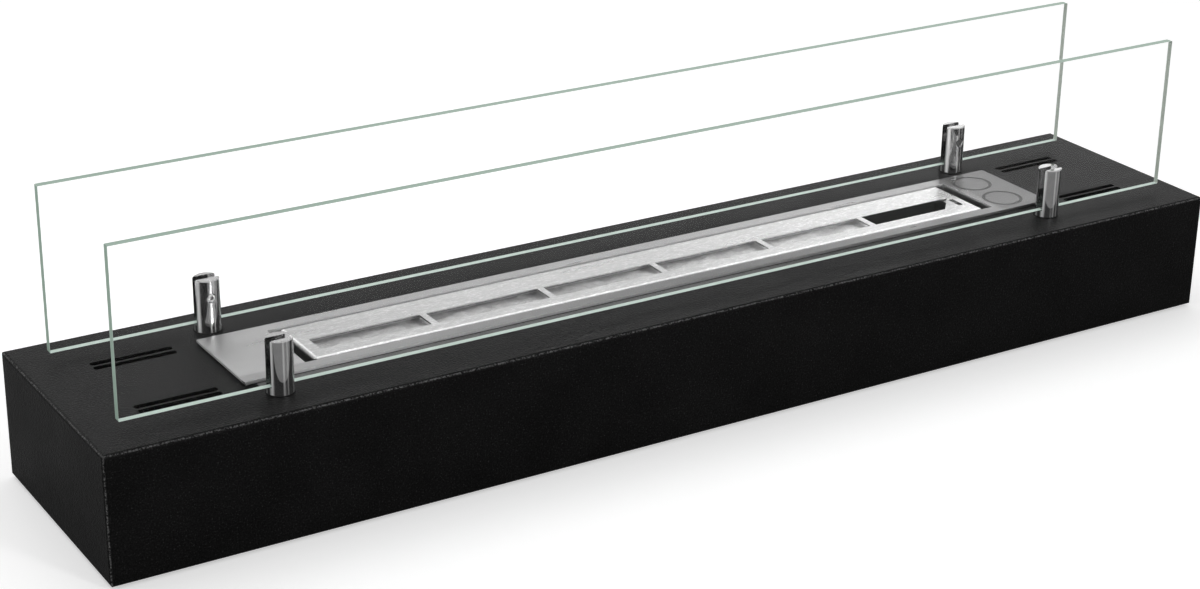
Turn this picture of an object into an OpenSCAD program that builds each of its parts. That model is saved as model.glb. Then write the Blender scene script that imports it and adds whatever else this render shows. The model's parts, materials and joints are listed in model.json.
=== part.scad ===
// Bioethanol fireplace: a long, low steel housing with a lift-out fuel box in its deck and
// two glass panes held in four slotted posts. Lengths are in millimetres.
// X runs along the length, Y from front to back, Z up. The origin is under the middle of the feet.

/* [Housing] */
// Length of the housing
housing_l = 1000; // [940:10:1300]
// Depth of the housing from front to back
housing_d = 200; // [185:5:300]
// Height of the housing without its feet
housing_h = 100; // [90:5:160]
// Thickness of the housing's sheet
sheet_t = 2; // [1:0.5:3]
// Inner radius of the housing's folds
fold_r = 1; // [0.5:0.5:2]
// Width of the flange that turns in under the housing
flange_w = 16; // [15:1:24]

/* [Vents] */
// Length of a vent slot
vent_l = 63; // [30:0.5:64]
// Width of a vent slot
vent_w = 5.5; // [4.5:0.5:6]
// Corner radius of a vent slot
vent_r = 2; // [0.5:0.5:2]
// Distance between the two slots of a pair
vent_pitch = 8.1; // [7.1:0.5:12.1]
// Distance of a pair's middle from the housing's centre line
vent_y = 41; // [15:1:60]
// Distance from the end of the frame to the vent slots
vent_gap = 18; // [6:0.5:25]

/* [Feet and bottom] */
// Length of a foot
foot_l = 46; // [25:1:70]
// Width of a foot
foot_w = 8.5; // [6:0.5:8.5]
// Thickness of a foot
foot_h = 2; // [2:0.5:5]
// Corner radius of a foot
foot_r = 2; // [0.5:0.5:2.5]
// Distance from the end of the housing to a foot
foot_end = 8; // [5:1:30]
// Distance from the long side of the housing to a foot
foot_side = 6.5; // [3:0.5:6.5]
// Thickness of the bottom plate
bottom_t = 1.2; // [0.8:0.2:2]
// Gap between the bottom plate and the housing's walls
bottom_gap = 1.5; // [1:0.5:4]
// Diameter of a bottom plate screw
bottom_screw_d = 4; // [3:0.5:5]
// Diameter of its thin head
bottom_head_d = 8; // [7:0.5:9]
// Height of its thin head
bottom_head_h = 1.4; // [0.8:0.2:1.6]
// Number of screws along each side
bottom_screws = 4; // [2:1:6]
// Distance from the end of the housing to the first screw
bottom_screw_end = 100; // [70:5:150]
// Distance from the long side of the housing to the screws
bottom_screw_side = 9; // [8:0.5:9.5]

/* [Burner slot] */
// Length of the burner slot
slot_l = 600; // [500:10:610]
// Width of the burner slot
slot_w = 20.5; // [14:0.5:21]
// Number of windows in the burner slot
windows = 6; // [3:1:8]
// How much shorter the two end windows are than the others
end_window_less = 5.6; // [0:0.2:8]
// Width of a bar between two windows
bar_w = 5.5; // [3:0.5:8]
// Corner radius of a window
window_r = 0.8; // [0.4:0.2:1.6]
// Length of the diagonal end of the last window
diagonal_l = 18.5; // [10:0.5:20]

/* [Fuel box] */
// Land of the cap beyond each end of the slot
end_land = 11; // [10:0.5:16]
// Strip of the cap in front of the slot
front_strip = 13.5; // [13.5:0.5:20]
// Strip of the cap behind the slot
rear_strip = 28; // [28:0.5:36]
// Height of the fuel box with its cap
fuel_box_h = 70; // [50:1:80]
// Thickness of the fuel box's sheet
box_t = 1.5; // [1:0.5:2]
// Inner radius of the cap's bent edges
cap_fold_r = 1.5; // [0.5:0.5:2]
// Inner corner radius of the tank in plan
tank_r = 1; // [0.5:0.5:3]
// Height of the cap's skirt
skirt_h = 12; // [8:1:20]
// Gap between the cap's skirt and the tank
skirt_gap = 0.1; // [0.05:0.05:0.3]
// Width of the hook slot
hook_w = 4.5; // [3:0.5:5]
// Length of the hook slot
hook_l = 14.5; // [10:0.5:15]
// Distance from the diagonal's end to the middle of the hook slot
hook_x = 0; // [-0.5:0.5:1]
// Distance of the hook slot's back end from the slot's back edge
hook_back = 4.5; // [3.5:0.5:5]
// Diameter of the pin hole beside the hook slot
pin_hole_d = 1.6; // [1:0.2:2]
// Metal between the pin hole and the hook slot
pin_hole_land = 0.8; // [0.6:0.1:1.2]

/* [Frame and trough] */
// Finger gap between the fuel box and the ends of the opening
end_gap = 9; // [8:0.5:16]
// Gap between the fuel box and the sides of the opening
side_gap = 2; // [1:0.5:4]
// Width of the frame at its ends
frame_end = 52; // [52:1:62]
// Width of the frame along its sides
frame_side = 10; // [10:0.5:16]
// Thickness of the frame
frame_t = 1.5; // [1:0.5:3]
// Corner radius of the frame
frame_r = 1; // [0.5:0.5:4]
// Outer diameter of an etched ring
ring_d = 34.5; // [20:0.5:36]
// Width of the line of an etched ring
ring_line = 3; // [1:0.5:5]
// Depth of the etching
ring_depth = 0.2; // [0.1:0.1:0.4]
// Distance of the rings' centres from the end of the frame
ring_end = 30.5; // [25:0.5:32]
// Distance of a ring's centre from the frame's centre line
ring_y = 20.25; // [18.25:0.5:24.25]
// Diameter of a stud under the frame
stud_d = 4; // [3:0.5:5]
// Length of a stud below the frame
stud_l = 12; // [11:1:18]
// Distance from the end of the frame to the studs
stud_end = 24; // [18:1:32]
// Distance from the side of the frame to the studs
stud_side = 16; // [14:1:24]
// Gap between the opening and the trough's walls
trough_gap = 2; // [1:0.5:3]
// Thickness of the trough's sheet
trough_t = 1.5; // [1:0.5:2]
// Corner radius inside the trough
trough_r = 3; // [1:0.5:8]
// Gap between the trough and the cut in the deck
cut_gap = 1.5; // [1:0.5:2]
// Distance that the trough's rim stays back from the frame's edge
rim_back = 1; // [1:0.5:3.5]

/* [Shutter and wool] */
// Thickness of the shutter
shutter_t = 1; // [0.8:0.2:1.4]
// Gap above and below the shutter
shutter_gap = 0.3; // [0.2:0.1:0.6]
// Lap of the closed shutter over the slot's front edge
shutter_front_lap = 0.5; // [0.3:0.1:0.8]
// Lap of the closed shutter over the slot's back edge
shutter_rear_lap = 1.8; // [1:0.1:2]
// Distance that the open shutter stays back from the slot
shutter_back = 1.2; // [0.6:0.1:1.4]
// Length of the shutter beyond each end of the slot
shutter_over = 5; // [4:0.5:6]
// Width of the pull tab
tab_w = 10; // [9:0.5:12]
// Diameter of a hook hole in the shutter
hook_hole_d = 2.4; // [1.6:0.2:3]
// Metal in front of the first hook hole
tab_nose = 0.9; // [0.7:0.1:1.1]
// Gap between the tab and the front wall of the tank when the shutter is closed
tab_gap = 0.3; // [0.2:0.1:0.6]
// Thickness of a shutter rail's ledge
ledge_t = 1.2; // [0.8:0.2:2]
// Width of the ledge under the shutter's end
ledge_lap = 2; // [1:0.5:3]
// Gap between the ceramic wool and the sheets round it
wool_gap = 0.3; // [0.2:0.1:0.6]
// Distance that the wool runs past the last bar's middle
wool_past = 10; // [5:1:20]
// Height of the baffle above the tank's floor
baffle_h = 45; // [35:1:60]
// Thickness of the baffle
baffle_t = 1; // [0.8:0.2:1.4]
// Diameter of a hole in the baffle
baffle_hole_d = 5; // [3:0.5:7]
// Distance between the holes in the baffle
baffle_pitch = 9; // [8:0.5:12]

/* [Glass and posts] */
// Length of a pane
glass_l = 951; // [800:1:1200]
// Height of a pane
glass_h = 128; // [100:0.5:220]
// Thickness of a pane
glass_t = 6; // [4:0.5:6]
// Corner radius of a pane
glass_r = 0.5; // [0.5:0.5:10]
// Gap between the glass and what stands beside it
glass_gap = 0.3; // [0.2:0.1:0.5]
// Diameter of a post
post_d = 20.5; // [19.5:0.5:28]
// Height of a post above the deck
post_h = 42; // [40:1:60]
// Chamfer round the top of a post
post_chamfer = 0.8; // [0.4:0.2:1.6]
// Distance from the end of the frame to a post's axis
post_end = 18.5; // [15:0.5:40]
// Gap between the frame and a post
post_gap = 10.75; // [8.75:0.5:16.75]
// Play of the glass in the slot of a post
slot_play = 2.2; // [1:0.1:3.6]
// Distance that the slot of a post lies outward of its axis
slot_out = 1; // [0:0.25:1]
// Height of the floor of the slot above the deck
slot_floor = 6; // [4:0.5:12]
// Thickness of the pad under the glass
seat_t = 1; // [0.5:0.5:3]
// Length of the pad under the glass
seat_l = 16; // [10:1:17]
// Diameter of the spigot under a post
spigot_d = 8; // [6:0.5:10]
// Length of the spigot below the deck
spigot_l = 14; // [13:1:20]
// Diameter of the washer on the spigot
washer_d = 16; // [16:0.5:20]
// Thickness of the washer
washer_t = 1.6; // [1:0.2:2.4]

/* [Clamp screws] */
// Height of the clamp screws above the deck
clamp_z = 28; // [22:1:32]
// Diameter of the tapped hole
clamp_d = 6; // [5:0.5:7]
// Chamfer at the mouth of the tapped hole
clamp_chamfer = 0.9; // [0.4:0.1:1.2]
// Depth of the screw's end below the post's surface
clamp_recess = 0.9; // [0.5:0.1:1.5]
// Width across the flats of the screw's socket
socket_w = 3; // [2:0.5:3.5]
// Depth of the screw's socket
socket_depth = 2.5; // [1.5:0.5:3]
// Diameter of the soft tip
tip_d = 4; // [3:0.5:4.5]
// Length of the soft tip
tip_l = 1.5; // [1:0.1:2]

/* [Hidden] */
$fn = 48;

// Overrun of every cut past the face that it opens
over = 1;
// Radial clearance of a screw or spigot in a plain hole, and in a nut or tapped hole
hole_gap = 0.25;
thread_gap = 0.05;
// A hexagon nut: width across the flats and height as shares of the thread's diameter
nut_w_share = 1.62;
nut_h_share = 0.8;
// The plain tail of a screw past the sheet that it is tapped into
screw_tail = 1.3;

// Levels
shell_z = foot_h;
deck_z = foot_h + housing_h;
deck_under_z = deck_z - sheet_t;
frame_z = deck_z + trough_t;
top_z = frame_z + frame_t;
trough_floor_z = top_z - fuel_box_h;
cap_under_z = top_z - box_t;
tank_floor_z = trough_floor_z + box_t;
tank_top_z = cap_under_z - cap_fold_r;
shutter_z = cap_under_z - shutter_gap - shutter_t;
wool_top_z = shutter_z - shutter_gap;
bottom_z = foot_h + sheet_t;

// Plan of the burner
box_l = slot_l + 2 * end_land;
box_w = front_strip + slot_w + rear_strip;
opening_l = box_l + 2 * end_gap;
opening_w = box_w + 2 * side_gap;
frame_l = opening_l + 2 * frame_end;
frame_w = opening_w + 2 * frame_side;
tank_l = box_l - 2 * box_t - 2 * skirt_gap;
tank_w = box_w - 2 * box_t - 2 * skirt_gap;
tank_in_l = tank_l - 2 * box_t;
tank_in_w = tank_w - 2 * box_t;
cap_corner_r = tank_r + 2 * box_t + skirt_gap;
slot_front_y = front_strip - box_w / 2;
slot_rear_y = slot_front_y + slot_w;
window_l = (slot_l + 2 * end_window_less - (windows - 1) * bar_w) / windows;
trough_in_l = opening_l + 2 * trough_gap;
trough_in_w = opening_w + 2 * trough_gap;
cut_l = trough_in_l + 2 * trough_t + 2 * cut_gap;
cut_w = trough_in_w + 2 * trough_t + 2 * cut_gap;
stud_x = frame_l / 2 - stud_end;
stud_y = frame_w / 2 - stud_side;

// The shutter, in its open place behind the slot
shutter_w = shutter_front_lap + slot_w + shutter_rear_lap;
shutter_front_y = slot_rear_y + shutter_back;
shutter_travel = shutter_front_y - slot_front_y + shutter_front_lap;
shutter_l = slot_l + 2 * shutter_over;
tab_front_y = shutter_travel + tab_gap - tank_in_w / 2;
hook_hole_y = tab_front_y + tab_nose + hook_hole_d / 2;

// The wool, from the left rail to just past the last bar
wool_left_x = ledge_lap + wool_gap - shutter_l / 2;
wool_right_x = bar_x(windows - 1) + wool_past;
WOOL_PADS = 5;

// Posts and glass
post_x = frame_l / 2 - post_end;
post_y = frame_w / 2 + post_gap + post_d / 2;
post_slot_w = glass_t + slot_play;
glass_out = slot_out + post_slot_w / 2 - glass_gap - glass_t / 2;
glass_z = deck_z + slot_floor + seat_t;
// Distance of a clamp screw's inner end from the post's axis
clamp_end = glass_t / 2 + glass_gap - glass_out + tip_l;

// The middle of bar i, counted from 1 at the left
function bar_x(i) = (i - windows / 2) * (window_l + bar_w);

// A rectangle about the origin with rounded corners
module rounded_rect(w, h, r) {
    square([w - 2 * r, h], center = true);
    square([w, h - 2 * r], center = true);
    for (sx = [-1, 1], sy = [-1, 1])
        translate([sx * (w / 2 - r), sy * (h / 2 - r)]) circle(r);
}

// A block standing on z = 0, rounded by plan_r at its upright edges and by edge_r at the others
module rounded_block(l, w, h, plan_r, edge_r) {
    intersection() {
        linear_extrude(h) rounded_rect(l, w, plan_r);
        translate([-l / 2 - over, 0, h / 2]) rotate([90, 0, 90])
            linear_extrude(l + 2 * over) rounded_rect(w, h, edge_r);
        translate([0, w / 2 + over, h / 2]) rotate([90, 0, 0])
            linear_extrude(w + 2 * over) rounded_rect(l, h, edge_r);
    }
}

// Places children at the four posts, with their +Y side turned outward
module at_post(sx, sy) {
    translate([sx * post_x, sy * post_y, deck_z]) mirror([0, sy < 0 ? 1 : 0, 0]) children();
}

// Places children at the housing's four corners or the frame's four studs
module at_corners(x, y) {
    for (sx = [-1, 1], sy = [-1, 1]) translate([sx * x, sy * y, 0]) children();
}

// Folded housing: deck, four walls and a flange that turns in at the bottom
module housing_shell() {
    color([0.11, 0.11, 0.11]) difference() {
        translate([0, 0, shell_z])
            rounded_block(housing_l, housing_d, housing_h, fold_r + sheet_t, fold_r + sheet_t);
        translate([0, 0, shell_z + sheet_t])
            rounded_block(housing_l - 2 * sheet_t, housing_d - 2 * sheet_t, housing_h - 2 * sheet_t,
                fold_r, fold_r);
        translate([0, 0, shell_z - over]) linear_extrude(sheet_t + 2 * over)
            rounded_rect(housing_l - 2 * flange_w, housing_d - 2 * flange_w, fold_r);
        translate([0, 0, deck_under_z - over]) linear_extrude(sheet_t + 2 * over) {
            rounded_rect(cut_l, cut_w, trough_r);
            for (sx = [-1, 1], sy = [-1, 1], row = [-1, 1])
                translate([sx * (frame_l / 2 + vent_gap + vent_l / 2), sy * vent_y + row * vent_pitch / 2])
                    rounded_rect(vent_l, vent_w, vent_r);
        }
        at_corners(post_x, post_y) translate([0, 0, deck_under_z - over])
            cylinder(r = spigot_d / 2 + hole_gap, h = sheet_t + 2 * over);
        at_corners(stud_x, stud_y) translate([0, 0, deck_under_z - over])
            cylinder(r = stud_d / 2 + hole_gap, h = sheet_t + 2 * over);
        bottom_screw_places() translate([0, 0, shell_z - over])
            cylinder(r = bottom_screw_d / 2 + hole_gap, h = sheet_t + 2 * over);
    }
}

// The screws of the bottom plate, spread evenly along both long sides
module bottom_screw_places() {
    span = housing_l - 2 * bottom_screw_end;
    for (i = [0 : bottom_screws - 1], sy = [-1, 1])
        translate([i * span / (bottom_screws - 1) - span / 2, sy * (housing_d / 2 - bottom_screw_side), 0])
            children();
}

// Closing sheet that lies on the housing's flange
module bottom_plate() {
    inset = sheet_t + bottom_gap;
    color([0.62, 0.63, 0.64]) difference() {
        translate([0, 0, bottom_z]) linear_extrude(bottom_t)
            rounded_rect(housing_l - 2 * inset, housing_d - 2 * inset, fold_r);
        bottom_screw_places() translate([0, 0, bottom_z - over])
            cylinder(r = bottom_screw_d / 2 + thread_gap, h = bottom_t + 2 * over);
    }
}

module bottom_plate_screws() {
    color([0.5, 0.5, 0.52]) bottom_screw_places() {
        translate([0, 0, shell_z - bottom_head_h]) difference() {
            cylinder(d = bottom_head_d, h = bottom_head_h);
            translate([0, 0, -over])
                cylinder(d = bottom_screw_d / 2, h = over + bottom_head_h / 2, $fn = 6);
        }
        translate([0, 0, shell_z]) cylinder(d = bottom_screw_d, h = sheet_t + bottom_t + screw_tail);
    }
}

// Rubber pad under the flange
module foot(sx, sy) {
    foot_x = housing_l / 2 - foot_end - foot_l / 2;
    foot_y = housing_d / 2 - foot_side - foot_w / 2;
    color([0.08, 0.08, 0.08]) translate([sx * foot_x, sy * foot_y, 0])
        linear_extrude(foot_h) rounded_rect(foot_l, foot_w, foot_r);
}
module foot_front_left() { foot(-1, -1); }
module foot_front_right() { foot(1, -1); }
module foot_rear_left() { foot(-1, 1); }
module foot_rear_right() { foot(1, 1); }

// Trough that catches a spill: the fuel box stands on its floor
module drip_trough() {
    color([0.66, 0.66, 0.67]) difference() {
        translate([0, 0, trough_floor_z - trough_t]) linear_extrude(deck_z - trough_floor_z + trough_t)
            rounded_rect(trough_in_l + 2 * trough_t, trough_in_w + 2 * trough_t, trough_r + trough_t);
        translate([0, 0, trough_floor_z]) linear_extrude(deck_z - trough_floor_z + over)
            rounded_rect(trough_in_l, trough_in_w, trough_r);
    }
}

// Rim welded on the trough's walls, by which it hangs in the deck
module trough_rim() {
    color([0.66, 0.66, 0.67]) translate([0, 0, deck_z]) difference() {
        linear_extrude(trough_t) difference() {
            rounded_rect(frame_l - 2 * rim_back, frame_w - 2 * rim_back, frame_r);
            rounded_rect(trough_in_l, trough_in_w, trough_r);
        }
        at_corners(stud_x, stud_y) translate([0, 0, -over])
            cylinder(r = stud_d / 2 + hole_gap, h = trough_t + 2 * over);
    }
}

// Visible plate round the fuel box, with two etched rings
module burner_frame() {
    color([0.72, 0.72, 0.73]) difference() {
        translate([0, 0, frame_z]) linear_extrude(frame_t) difference() {
            rounded_rect(frame_l, frame_w, frame_r);
            rounded_rect(opening_l, opening_w, frame_r);
        }
        for (sy = [-1, 1])
            translate([frame_l / 2 - ring_end, sy * ring_y, top_z - ring_depth]) difference() {
                cylinder(d = ring_d, h = ring_depth + over);
                translate([0, 0, -over]) cylinder(d = ring_d - 2 * ring_line, h = ring_depth + 3 * over);
            }
    }
}

// Studs welded under the frame
module burner_frame_studs() {
    color([0.7, 0.7, 0.71]) at_corners(stud_x, stud_y)
        translate([0, 0, frame_z - stud_l]) cylinder(d = stud_d, h = stud_l);
}

// A hexagon nut whose upper face lies at z = 0
module nut(d) {
    translate([0, 0, -nut_h_share * d]) difference() {
        cylinder(d = nut_w_share * d / cos(30), h = nut_h_share * d, $fn = 6);
        translate([0, 0, -over]) cylinder(r = d / 2 + thread_gap, h = nut_h_share * d + 2 * over);
    }
}

module burner_frame_nuts() {
    color([0.6, 0.6, 0.6]) at_corners(stud_x, stud_y) translate([0, 0, deck_under_z]) nut(stud_d);
}

// Tank of the fuel box, open at the top
module fuel_box_body() {
    color([0.7, 0.7, 0.71]) difference() {
        translate([0, 0, trough_floor_z]) linear_extrude(tank_top_z - trough_floor_z)
            rounded_rect(tank_l, tank_w, tank_r + box_t);
        translate([0, 0, tank_floor_z]) linear_extrude(tank_top_z - tank_floor_z + over)
            rounded_rect(tank_in_l, tank_in_w, tank_r);
    }
}

// Outline of window i, counted from 0 at the left; the last one ends on a diagonal
module window_outline(i) {
    x0 = i == 0 ? -slot_l / 2 : bar_x(i) + bar_w / 2;
    x1 = i == windows - 1 ? slot_l / 2 : bar_x(i + 1) - bar_w / 2;
    if (i < windows - 1)
        translate([(x0 + x1) / 2, (slot_front_y + slot_rear_y) / 2])
            rounded_rect(x1 - x0, slot_w, window_r);
    else
        polygon([[x0, slot_front_y], [x1 - diagonal_l, slot_front_y], [x1, slot_rear_y], [x0, slot_rear_y]]);
}

// Cap of the fuel box: windows, hook slot, pin hole and a skirt over the tank
module fuel_box_top() {
    hook_mid_x = slot_l / 2 + hook_x;
    hook_front_y = slot_rear_y - hook_back - hook_l;
    cap_h = skirt_h + 2 * (cap_fold_r + box_t);
    color([0.82, 0.82, 0.83]) difference() {
        translate([0, 0, top_z - cap_h]) rounded_block(box_l, box_w, cap_h, cap_corner_r, cap_fold_r + box_t);
        translate([0, 0, cap_under_z - cap_h]) rounded_block(box_l - 2 * box_t, box_w - 2 * box_t, cap_h,
            cap_corner_r - box_t, cap_fold_r);
        translate([0, 0, top_z - cap_h - over]) linear_extrude(cap_h + over - skirt_h)
            square([box_l + 2 * over, box_w + 2 * over], center = true);
        translate([0, 0, cap_under_z - over]) linear_extrude(box_t + 2 * over) {
            for (i = [0 : windows - 1]) window_outline(i);
            translate([hook_mid_x, hook_front_y + hook_l / 2]) rounded_rect(hook_w, hook_l, window_r);
            translate([hook_mid_x + hook_w / 2 + pin_hole_land + pin_hole_d / 2, hook_front_y])
                circle(d = pin_hole_d);
        }
    }
}

// Perforated sheet between the wool and the filling chamber
module wool_baffle() {
    rows = floor((baffle_h - baffle_pitch) / baffle_pitch);
    columns = floor((tank_in_w - baffle_pitch) / baffle_pitch);
    color([0.6, 0.6, 0.61]) difference() {
        translate([wool_right_x + wool_gap, wool_gap - tank_in_w / 2, tank_floor_z])
            cube([baffle_t, tank_in_w - 2 * wool_gap, baffle_h]);
        for (i = [0 : columns - 1], j = [1 : rows])
            translate([wool_right_x + wool_gap - over, (i - (columns - 1) / 2) * baffle_pitch,
                tank_floor_z + j * baffle_pitch])
                rotate([0, 90, 0]) cylinder(d = baffle_hole_d, h = baffle_t + 2 * over);
    }
}

// Block of ceramic wool i, counted from 1 at the left
module wool_pad(i) {
    pad_l = (wool_right_x - wool_left_x + wool_gap) / WOOL_PADS;
    color([0.93, 0.93, 0.91])
        translate([wool_left_x + (i - 1) * pad_l, wool_gap - tank_in_w / 2, tank_floor_z + wool_gap])
            cube([pad_l - wool_gap, tank_in_w - 2 * wool_gap, wool_top_z - tank_floor_z - wool_gap]);
}
module wool_pad_1() { wool_pad(1); }
module wool_pad_2() { wool_pad(2); }
module wool_pad_3() { wool_pad(3); }
module wool_pad_4() { wool_pad(4); }
module wool_pad_5() { wool_pad(5); }

// Strip that slides forward over the windows, with a tab that a hook can reach
module flame_shutter() {
    color([0.68, 0.68, 0.69]) translate([0, 0, shutter_z]) difference() {
        union() {
            translate([-shutter_l / 2, shutter_front_y, 0]) cube([shutter_l, shutter_w, shutter_t]);
            translate([shutter_l / 2 - tab_w, tab_front_y, 0])
                cube([tab_w, shutter_front_y - tab_front_y + over, shutter_t]);
        }
        for (stroke = [0, 1])
            translate([slot_l / 2 + hook_x, hook_hole_y + stroke * shutter_travel / 2, -over])
                cylinder(d = hook_hole_d, h = shutter_t + 2 * over);
    }
}

// Rail on the end wall of the tank: a ledge under the shutter's end and a web beside it
module shutter_rail(sx) {
    web_x = shutter_l / 2 + shutter_gap;
    wall_x = tank_in_l / 2;
    rail_w = tank_in_w - 2 * tank_r;
    color([0.66, 0.66, 0.67]) mirror([sx < 0 ? 1 : 0, 0, 0]) {
        translate([shutter_l / 2 - ledge_lap, -rail_w / 2, wool_top_z - ledge_t])
            cube([wall_x - shutter_l / 2 + ledge_lap, rail_w, ledge_t]);
        translate([web_x, -rail_w / 2, wool_top_z - ledge_t])
            cube([wall_x - web_x, rail_w, cap_under_z - wool_top_z + ledge_t]);
    }
}
module shutter_rail_left() { shutter_rail(-1); }
module shutter_rail_right() { shutter_rail(1); }

// Post with a slot for the glass, a tapped hole in its inner side and a spigot through the deck
module glass_post(sx, sy) {
    color([0.8, 0.8, 0.82]) at_post(sx, sy) difference() {
        union() {
            rotate_extrude() polygon([[0, 0], [post_d / 2, 0], [post_d / 2, post_h - post_chamfer],
                [post_d / 2 - post_chamfer, post_h], [0, post_h]]);
            translate([0, 0, -spigot_l]) cylinder(d = spigot_d, h = spigot_l + slot_floor / 2);
        }
        translate([-post_d / 2 - over, slot_out - post_slot_w / 2, slot_floor])
            cube([post_d + 2 * over, post_slot_w, post_h]);
        translate([0, 0, clamp_z]) rotate([90, 0, 0]) {
            cylinder(d = clamp_d, h = post_d);
            translate([0, 0, post_d / 2 - clamp_chamfer])
                cylinder(d1 = clamp_d, d2 = clamp_d + 2 * (clamp_chamfer + over), h = clamp_chamfer + over);
        }
    }
}
module glass_post_front_left() { glass_post(-1, -1); }
module glass_post_front_right() { glass_post(1, -1); }
module glass_post_rear_left() { glass_post(-1, 1); }
module glass_post_rear_right() { glass_post(1, 1); }

// Silicone pad on the floor of a post's slot
module glass_seat(sx, sy) {
    color([0.25, 0.26, 0.26]) at_post(sx, sy)
        translate([-seat_l / 2, slot_out - post_slot_w / 2 + glass_gap, slot_floor])
            cube([seat_l, post_slot_w - 2 * glass_gap, seat_t]);
}
module glass_seat_front_left() { glass_seat(-1, -1); }
module glass_seat_front_right() { glass_seat(1, -1); }
module glass_seat_rear_left() { glass_seat(-1, 1); }
module glass_seat_rear_right() { glass_seat(1, 1); }

module post_washers() {
    color([0.6, 0.6, 0.6]) at_corners(post_x, post_y)
        translate([0, 0, deck_under_z - washer_t]) difference() {
            cylinder(d = washer_d, h = washer_t);
            translate([0, 0, -over]) cylinder(r = spigot_d / 2 + hole_gap, h = washer_t + 2 * over);
        }
}

module post_nuts() {
    color([0.6, 0.6, 0.6]) at_corners(post_x, post_y)
        translate([0, 0, deck_under_z - washer_t]) nut(spigot_d);
}

// Set screw with a hexagon socket
module clamp_screw(sx, sy) {
    screw_l = post_d / 2 - clamp_recess - clamp_end;
    color([0.55, 0.55, 0.56]) at_post(sx, sy)
        translate([0, -clamp_end, clamp_z]) rotate([90, 0, 0]) difference() {
            cylinder(r = clamp_d / 2 - thread_gap, h = screw_l);
            translate([0, 0, screw_l - socket_depth])
                cylinder(d = socket_w / cos(30), h = socket_depth + over, $fn = 6);
        }
}
module clamp_screw_front_left() { clamp_screw(-1, -1); }
module clamp_screw_front_right() { clamp_screw(1, -1); }
module clamp_screw_rear_left() { clamp_screw(-1, 1); }
module clamp_screw_rear_right() { clamp_screw(1, 1); }

// Soft tip between the clamp screw and the glass
module clamp_tip(sx, sy) {
    color([0.9, 0.9, 0.88]) at_post(sx, sy) translate([0, -clamp_end, clamp_z]) rotate([-90, 0, 0])
        cylinder(d = tip_d, h = tip_l);
}
module clamp_tip_front_left() { clamp_tip(-1, -1); }
module clamp_tip_front_right() { clamp_tip(1, -1); }
module clamp_tip_rear_left() { clamp_tip(-1, 1); }
module clamp_tip_rear_right() { clamp_tip(1, 1); }

// Pane on edge, its lower edge on the seats
module glass_pane(sy) {
    color([0.8, 0.95, 0.88, 0.35])
        translate([0, sy * (post_y + glass_out) + glass_t / 2, glass_z + glass_h / 2]) rotate([90, 0, 0])
            linear_extrude(glass_t) rounded_rect(glass_l, glass_h, glass_r);
}
module glass_pane_front() { glass_pane(-1); }
module glass_pane_rear() { glass_pane(1); }

housing_shell();
bottom_plate();
bottom_plate_screws();
foot_front_left();
foot_front_right();
foot_rear_left();
foot_rear_right();
drip_trough();
trough_rim();
burner_frame();
burner_frame_studs();
burner_frame_nuts();
fuel_box_body();
fuel_box_top();
wool_baffle();
wool_pad_1();
wool_pad_2();
wool_pad_3();
wool_pad_4();
wool_pad_5();
flame_shutter();
shutter_rail_left();
shutter_rail_right();
glass_post_front_left();
glass_post_front_right();
glass_post_rear_left();
glass_post_rear_right();
glass_seat_front_left();
glass_seat_front_right();
glass_seat_rear_left();
glass_seat_rear_right();
post_washers();
post_nuts();
clamp_screw_front_left();
clamp_screw_front_right();
clamp_screw_rear_left();
clamp_screw_rear_right();
clamp_tip_front_left();
clamp_tip_front_right();
clamp_tip_rear_left();
clamp_tip_rear_right();
glass_pane_front();
glass_pane_rear();
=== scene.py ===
# %% [markdown]
# Bioethanol fireplace, dressed for its picture
#
# The construction of this fireplace already exists as a packed model: every sheet, post, pane and
# screw at its real size. This lesson gives it its finishes, its ceramic wool and its light, and it never
# moves or resizes what the construction holds. All lengths are in metres.

# %% Load the construction
import json
import math
import random
import bmesh
import bpy
from mathutils import Euler, Matrix, Vector, noise


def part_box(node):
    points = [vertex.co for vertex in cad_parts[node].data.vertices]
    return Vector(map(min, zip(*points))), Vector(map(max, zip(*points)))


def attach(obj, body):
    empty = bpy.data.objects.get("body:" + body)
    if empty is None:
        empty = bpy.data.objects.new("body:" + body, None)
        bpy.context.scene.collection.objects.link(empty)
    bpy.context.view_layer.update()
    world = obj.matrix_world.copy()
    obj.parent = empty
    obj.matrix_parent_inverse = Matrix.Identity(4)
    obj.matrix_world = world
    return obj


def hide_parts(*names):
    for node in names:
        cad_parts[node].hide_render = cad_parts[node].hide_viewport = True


MM = 0.001
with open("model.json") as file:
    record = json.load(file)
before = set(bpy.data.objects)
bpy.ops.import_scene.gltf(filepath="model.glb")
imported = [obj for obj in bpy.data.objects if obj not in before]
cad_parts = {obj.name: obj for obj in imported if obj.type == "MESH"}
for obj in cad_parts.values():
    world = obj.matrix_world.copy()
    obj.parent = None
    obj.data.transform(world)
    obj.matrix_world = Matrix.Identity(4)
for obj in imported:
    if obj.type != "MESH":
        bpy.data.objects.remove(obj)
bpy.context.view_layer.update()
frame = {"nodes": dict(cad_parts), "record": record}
nodes = frame["nodes"]
subparts = frame["record"]["subparts"]


def corners(node):
    """The lowest and the highest corner of a node at rest."""
    return [Vector(corner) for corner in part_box(node)]


# %% [markdown]
# The camera
#
# A camera could be placed by eye, but a low, long box shows every degree of error at its far end. Here
# its place, direction and lens were worked out from the corners of the housing and the panes, and are
# written as plain angles. The shift stays at zero, so that the camera can be walked round the object.

# %% Camera
CAMERA_PLACE = (-1.0040, -1.5239, 0.8414)
CAMERA_AZIMUTH, CAMERA_DOWN, CAMERA_ROLL = math.radians(32.076), math.radians(22.706), math.radians(-0.860)
PICTURE_WIDTH, SENSOR = 1200, 36
FOCAL_PIXELS = 2477.4
FARTHEST_SEEN = 100

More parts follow.
